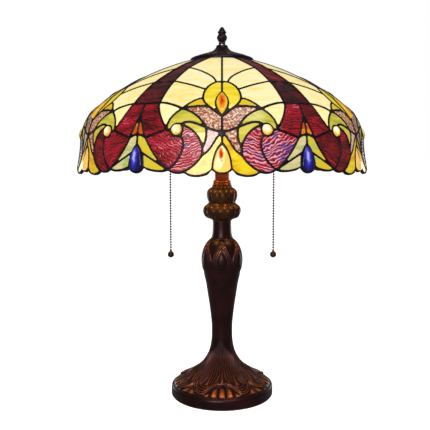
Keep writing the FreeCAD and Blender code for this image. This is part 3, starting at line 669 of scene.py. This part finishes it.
def mixed(tree, factor, first, second, blend="MIX"):
    return add(tree, "ShaderNodeMix", {"Factor": factor, "A": first, "B": second}, data_type="RGBA",
               blend_type=blend).outputs["Result"]


def remap(tree, value, low, high, to_low=0.0, to_high=1.0):
    return add(tree, "ShaderNodeMapRange", {
        "Value": value, "From Min": low, "From Max": high, "To Min": to_low, "To Max": to_high}).outputs["Result"]


def calc(tree, operation, *values):
    return add(tree, "ShaderNodeMath", dict(enumerate(values)), operation=operation).outputs[0]


def glass_shader(tree, colour, glow, body, bump, roughness=0.12):
    """A milky body lit from in front, and the same colour lit from behind by the bulbs."""
    lit = add(tree, "ShaderNodeAttribute", attribute_name="glow").outputs["Fac"]
    under = mixed(tree, body, (0, 0, 0, 1), colour)
    strength = calc(tree, "MULTIPLY", lit, glow)
    finish_tree(tree, add(tree, "ShaderNodeBsdfPrincipled", {
        "Base Color": under, "Roughness": roughness, "Normal": bump, "Emission Color": colour,
        "Emission Strength": strength}))


def stirred(tree, streak):
    """(map, streaks, each pane's own tone moved by its streaks)"""
    flat = add(tree, "ShaderNodeUVMap", uv_map="pane").outputs["UV"]
    tone = add(tree, "ShaderNodeAttribute", attribute_name="tone").outputs["Fac"]
    stretched = add(tree, "ShaderNodeMapping", {
        "Vector": flat, "Scale": (1 / (streak[0] * MM), 1 / (streak[1] * MM), 1)}).outputs["Vector"]
    stir = add(tree, "ShaderNodeTexNoise", {
        "Vector": stretched, "Scale": 1.0, "Detail": 3.0, "Distortion": 0.8}).outputs["Fac"]
    return flat, stir, calc(tree, "MULTIPLY_ADD", calc(tree, "SUBTRACT", tone, 0.5), 0.8, stir)


def streaky(name, stops, glow, body=0.4, streak=(30, 10)):
    material, tree = new_material(name)
    flat, stir, place = stirred(tree, streak)
    bump = add(tree, "ShaderNodeBump", {"Height": stir, "Strength": 0.5, "Distance": 0.3 * MM}).outputs["Normal"]
    glass_shader(tree, ramp(tree, place, stops), glow, body, bump)
    return material


def granite(name, stops, speck, glow, body=0.4):
    """Pebbled glass with flecks of another colour between its pebbles."""
    material, tree = new_material(name)
    flat, stir, place = stirred(tree, (22, 16))
    pebbles = add(tree, "ShaderNodeTexNoise", {
        "Vector": flat, "Scale": per_mm(3.0), "Detail": 2.0, "Distortion": 0.5}).outputs["Fac"]
    colour = mixed(tree, remap(tree, pebbles, 0.47, 0.6), ramp(tree, place, stops), linear(speck))
    bump = add(tree, "ShaderNodeBump", {"Height": pebbles, "Strength": 0.8, "Distance": 0.8 * MM}).outputs["Normal"]
    glass_shader(tree, colour, glow, body, bump)
    return material


def ripple(name, stops, crest_highlight, glow, body=0.5):
    """Glass rolled into close waves: each hollow is dark, and each crest catches the light."""
    material, tree = new_material(name)
    flat, stir, place = stirred(tree, (34, 15))
    wander = add(tree, "ShaderNodeTexNoise", {"Vector": flat, "Scale": per_mm(13), "Detail": 2.0}).outputs["Color"]
    moved = add(tree, "ShaderNodeVectorMath", {0: wander, 1: (0.5, 0.5, 0.5)}, operation="SUBTRACT").outputs["Vector"]
    moved = add(tree, "ShaderNodeVectorMath", {
        0: moved, 1: (0, 14 * MM, 0), 2: flat}, operation="MULTIPLY_ADD").outputs["Vector"]
    wave = add(tree, "ShaderNodeTexWave", {
        "Vector": moved, "Scale": 2 * math.pi / (20 * RIPPLE_PITCH * MM), "Distortion": 2.2, "Detail": 2.0,
        "Detail Scale": 1.6}, wave_type="BANDS", bands_direction="Y").outputs["Fac"]
    colour = mixed(tree, 1.0, ramp(tree, place, stops), remap(tree, wave, 0.0, 0.5, 0.16, 1.0), "MULTIPLY")
    paler = remap(tree, place, 0.58, 0.78, 0.0, 0.9)
    less_so_in_violet = remap(tree, place, 0.88, 0.78, 0.15, 1.0)
    pale = calc(tree, "MULTIPLY", paler, less_so_in_violet)
    # The crests of the paler panes get a painted highlight in pale pink.
    crest = calc(tree, "MULTIPLY", remap(tree, wave, 0.6, 1.0), pale)
    colour = mixed(tree, crest, colour, linear(crest_highlight))
    bump = add(tree, "ShaderNodeBump", {"Height": wave, "Strength": 0.5, "Distance": 0.8 * MM}).outputs["Normal"]
    glass_shader(tree, colour, glow, body, bump, 0.28)
    return material


# %% Sheets of glass
def level_grain(angle, local, height):
    return 0.0


def even_tone(angle, local, height):
    return 0.5


def scroll_grain(angle, local, height):
    """Ripples run across each ribbon of crimson glass, and fan out round the scroll's jewel."""
    side = 1 if local > 0 else -1
    if abs(local) > 28 or height > 465:
        return 0.0
    if abs(local) > 23:
        return 6.0 * side
    return (27.0 if abs(local) > 16 else -16.0) * side


def crimson_tone_and_front_light(angle, local, height):
    """Ribbons are dark and the fans by the rim paler, and every pane is painted paler the more it faces the front:
    painted light.
    """
    facing = max(0, math.cos(math.radians(angle))) ** 3
    if abs(local) > 28 or height > 465:
        return 0.06 + 0.16 * facing
    if height > 425:
        return 0.14 + 0.42 * facing
    if abs(local) < 16:
        return 0.14 + 0.62 * facing
    return 0.14 + (0.82 if local > 0 and abs(angle) < 30 else 0.42) * facing


def yellow_tone(angle, local, height):
    """The sun is a brighter sheet than the skirt's petals."""
    return 0.75 if height > 430 else 0.45


def petal_tone(angle, local, height):
    return 0.75 if local > 0 else 0.35


def wing_tone(angle, local, height):
    """The wings under the scroll's circle are yellow; the spears over the drops are orange."""
    return 0.8 if abs(local) < 15 else 0.3


def confetti_tone(angle, local, height):
    return 0.95 if height < 420 and local < 0 else 0.4


SHEETS = {
    "cream_glass": ("cream_opalescent_glass", level_grain, even_tone, streaky(
        "cream opalescent glass", [(0.25, "#F6DA7C"), (0.5, "#FAEBA6"), (0.8, "#FCF3CC")], glow=0.92)),
    "yellow_glass": ("yellow_art_glass", level_grain, yellow_tone, streaky(
        "yellow streaky glass", [(0.3, "#D89C0C"), (0.46, "#E4C41C"), (0.62, "#F2D420"), (0.85, "#F8E650")],
        glow=0.84)),
    "amber_glass": ("amber_art_glass", level_grain, wing_tone, streaky(
        "amber streaky glass", [(0.25, "#C8500C"), (0.5, "#E69A18"), (0.75, "#F2CE20"), (0.95, "#D8D040")],
        glow=0.72)),
    "confetti_glass": ("granite_confetti_glass", level_grain, confetti_tone, granite(
        "granite confetti glass", [(0.3, "#8A3C22"), (0.55, "#B86844"), (0.85, "#E4B0B0")], "#F4D4B4", glow=0.66)),
    "olive_glass": ("olive_art_glass", level_grain, even_tone, streaky(
        "olive streaky glass", [(0.3, "#A8B030"), (0.48, "#D8C844"), (0.75, "#E8DC70")], glow=0.66)),
    "green_glass": ("green_streaky_glass", level_grain, petal_tone, streaky(
        "green streaky glass", [(0.2, "#E8C01C"), (0.4, "#D4C840"), (0.56, "#A4BC58"), (0.8, "#E2D09C")], glow=0.66)),
    "crimson_glass": ("crimson_ripple_glass", scroll_grain, crimson_tone_and_front_light, ripple(
        "crimson ripple glass",
        [(0.1, "#300508"), (0.32, "#740A14"), (0.5, "#B41228"), (0.72, "#CC2440"), (0.88, "#83408C")],
        crest_highlight="#FFC4C0", glow=0.52)),
}
for seed, (node, (slot, grain, tone, material)) in enumerate(SHEETS.items()):
    panes = merged_copy(node)
    mark_panes(panes, seed, grain, tone)
    finish_piece(panes, node.replace("_glass", "_panes"), "lamp", material, [node], smooth=False)

# %% [markdown]
# ## Moulded jewels
# Jewels are pressed in a mould and fire polished, so they are domed, clear and smooth. Their colour
# is strongest in the middle, and a map in millimetres from each jewel's centre places it. On the blue
# and cream jewels that middle is pale and sits up and to the left: a painted highlight.


# %% Jewel finish
def jewel_glass(name, stops, glow, core_size, core_at, body=0.4):
    """stops colour the jewel from its core outwards; core_size and core_at are in mm, across and down."""
    material, tree = new_material(name)
    flat = add(tree, "ShaderNodeUVMap", uv_map="pane").outputs["UV"]
    swirl = add(tree, "ShaderNodeTexNoise", {"Vector": flat, "Scale": per_mm(6), "Detail": 2.0}).outputs["Fac"]
    moved = add(tree, "ShaderNodeMapping", {
        "Vector": flat, "Location": (-core_at[0] / core_size[0], -core_at[1] / core_size[1], 0),
        "Scale": (1 / (core_size[0] * MM), 1 / (core_size[1] * MM), 1)}).outputs["Vector"]
    away = add(tree, "ShaderNodeVectorMath", {0: moved}, operation="LENGTH").outputs["Value"]
    away = calc(tree, "MULTIPLY_ADD", calc(tree, "SUBTRACT", swirl, 0.5), 1.2, away)
    colour = ramp(tree, calc(tree, "MULTIPLY", away, 0.5), stops)
    bump = add(tree, "ShaderNodeBump", {"Height": swirl, "Strength": 0.2, "Distance": 0.3 * MM}).outputs["Normal"]
    glass_shader(tree, colour, glow, body, bump, 0.05)
    return material


# %% Jewels
JEWELS = {
    "oval_jewels": ("amber_jewel_glass", jewel_glass(
        "amber jewel glass", [(0.15, "#D83A0C"), (0.4, "#F08A10"), (0.62, "#F8C020"), (0.9, "#F2D040")], 0.72, (4, 13),
        (0, 0))),
    "flame_jewels": ("flame_jewel_glass", jewel_glass(
        "flame jewel glass", [(0.2, "#C83010"), (0.38, "#F49A30"), (0.55, "#FFF0A8"), (0.8, "#FFC860")], 0.95,
        (3.4, 10), (-1, -7))),
    # The blue jewel's pale core, up and to the left, is a painted highlight.
    "drop_jewels": ("blue_jewel_glass", jewel_glass(
        "blue jewel glass", [(0.2, "#B4B4F4"), (0.38, "#5650D0"), (0.6, "#2C28A8"), (0.95, "#15124C")], 0.62,
        (3.6, 10), (-1.5, -4))),
    # The cream jewel's white core, up and to the left, is a painted highlight.
    "bead_jewels": ("cream_jewel_glass", jewel_glass(
        "cream jewel glass", [(0.12, "#FFFDF0"), (0.35, "#FAE8A4"), (0.6, "#E0B850"), (0.9, "#9A6C24")], 0.9,
        (6, 6), (-1.5, -1.5))),
}
for seed, (node, (slot, material)) in enumerate(JEWELS.items()):
    gems = rounded(merged_copy(node), voxel=0.6, passes=6, swell=0.3)
    mark_panes(gems, 100 + seed, level_grain, even_tone, scatter=0)
    finish_piece(gems, node.replace("_jewels", "_cabochons"), "lamp", material, [node])

# %% [markdown]
# ## Fittings
# What remains keeps its CAD shape, and takes the finish of its real material. The chains and arms
# are antique brass, the rod and spider plain steel and brass, and the bulbs are frosted and lit.


# %% Plain finishes
def plain(name, dark, light, metallic, roughness, grain=6.0, **extra):
    """A finish with soft clouds between two close colours."""
    material, tree = new_material(name)
    place = add(tree, "ShaderNodeTexCoord").outputs["Object"]
    cloud = add(tree, "ShaderNodeTexNoise", {"Vector": place, "Scale": per_mm(grain), "Detail": 4.0})
    colour = ramp(tree, cloud.outputs["Fac"], [(0.35, dark), (0.65, light)])
    rough = add(tree, "ShaderNodeMapRange", {
        "Value": cloud.outputs["Fac"], "From Min": 0.3, "From Max": 0.7, "To Min": roughness - 0.05,
        "To Max": roughness + 0.05})
    sockets = {"Base Color": colour, "Metallic": metallic, "Roughness": rough.outputs["Result"]}
    finish_tree(tree, add(tree, "ShaderNodeBsdfPrincipled", {**sockets, **extra}))
    return material


FINISHES = {
    plain("lacquered antique brass", "#22120E", "#42221A", 0.6, 0.38, 18): (
        "holder_shells holder_caps holder_arms bell_mouths cluster_body cluster_lid right_bead_chain left_bead_chain "
        "right_chain_ball left_chain_ball right_chain_knuckle left_chain_knuckle right_pull_link left_pull_link "
        "right_switch_lever left_switch_lever base_nut pipe_nut crown_ring"),
    plain("machined brass", "#B08A3C", "#C8A050", 1.0, 0.3): (
        "shade_spider rod_nuts centre_contacts screw_shells"),
    plain("zinc plated steel", "#8C9094", "#B0B4B8", 1.0, 0.35): (
        "lamp_pipe shade_rod base_washer finial_washer"),
    plain("nickel plated brass", "#A8A498", "#C4C0B4", 1.0, 0.25): "right_bulb_screw left_bulb_screw",
    plain("tin solder", "#8A8A8C", "#A2A2A4", 1.0, 0.42): "right_bulb_tip left_bulb_tip",
    plain("moulded phenolic", "#1A1412", "#261C18", 0.0, 0.4): "switch_blocks",
    plain("vulcanised fibre", "#6A4A30", "#7E5C3E", 0.0, 0.8): "holder_liners",
    plain("moulded nylon", "#141414", "#1E1E1E", 0.0, 0.45): "cord_bushing",
    plain("brown felt", "#3A2A20", "#4C382A", 0.0, 0.95, 1.2): "felt_pad",
    plain("raw cast iron", "#3C3A38", "#56524E", 0.9, 0.65, 3.0): "iron_weight",
    plain("frosted bulb glass", "#FFF0D8", "#FFF4E2", 0.0, 0.5, 20, **{
        "Emission Color": linear("#FFD9A0"), "Emission Strength": 1.6}): "right_bulb_globe left_bulb_globe",
}
for material, names in FINISHES.items():
    for name in names.split():
        mesh = nodes[name].data
        mesh.materials.clear()
        mesh.materials.append(material)
print("finished fittings:", sum(len(names.split()) for names in FINISHES.values()))

# %% [markdown]
# ## The bulbs' light on the neck
# The bulbs are lit, and their warm light falls out of the shade's open bottom on to the sleeve and
# the tops of the knops. A small point light at each bulb gives that, outside the glass so that the
# bulb does not shadow it. The studio light is two large soft lamps in front and above, two weak ones
# behind that draw the stem's edges, and a white room.


# %% Lights
def lamp_light(name, kind, energy, location, colour="#FFFFFF", **settings):
    data = bpy.data.lights.new(name, kind)
    data.energy = energy
    data.color = linear(colour)[:3]
    for key, value in settings.items():
        setattr(data, key, value)
    holder = bpy.data.objects.new(name, data)
    holder.location = location
    aim = Vector((0, 0, 0.35)) - Vector(location)
    holder.rotation_euler = aim.to_track_quat("-Z", "Y").to_euler()
    bpy.context.scene.collection.objects.link(holder)
    return holder


lamp_light("front_soft", "AREA", 22, (-0.45, -1.9, 0.8), size=0.9)
lamp_light("top_soft", "AREA", 8, (0.3, -0.9, 1.7), size=0.8)
lamp_light("right_soft", "AREA", 2, (0.85, 1.0, 0.2), size=0.5)
lamp_light("left_soft", "AREA", 2, (-0.85, 1.0, 0.2), size=0.5)
for side, bulb in zip(("left", "right"), BULBS):
    glow_at = (bulb.x * 0.62, -0.034, bulb.z - 0.028)
    lamp_light(side + "_bulb_light", "POINT", 0.42, glow_at, "#FFBE70", shadow_soft_size=0.02)

# %% Floor and room
floor_mesh = bpy.data.meshes.new("floor")
floor_mesh.from_pydata([(-8, -3, 0), (8, -3, 0), (8, 30, 0), (-8, 30, 0)], [], [(0, 1, 2, 3)])
floor = bpy.data.objects.new("floor", floor_mesh)
bpy.context.scene.collection.objects.link(floor)
floor_material, floor_tree = new_material("white paper")
finish_tree(floor_tree, add(floor_tree, "ShaderNodeBsdfPrincipled", {
    "Base Color": linear("#F4F4F4"), "Roughness": 0.9, "Emission Color": linear("#FFFFFF"),
    "Emission Strength": 1.0}))
floor_mesh.materials.append(floor_material)
floor.visible_glossy = False

world = bpy.data.worlds.new("white room")
world.use_nodes = True
world.node_tree.nodes.clear()
ray = add(world.node_tree, "ShaderNodeLightPath")
room = add(world.node_tree, "ShaderNodeMapRange", {
    "Value": ray.outputs["Is Camera Ray"], "To Min": 0.16, "To Max": 1.0})
background = add(world.node_tree, "ShaderNodeBackground", {
    "Color": linear("#FFFFFF"), "Strength": room.outputs["Result"]})
add(world.node_tree, "ShaderNodeOutputWorld", {"Surface": background.outputs[0]})
bpy.context.scene.world = world
bpy.context.scene.view_settings.view_transform = "Standard"
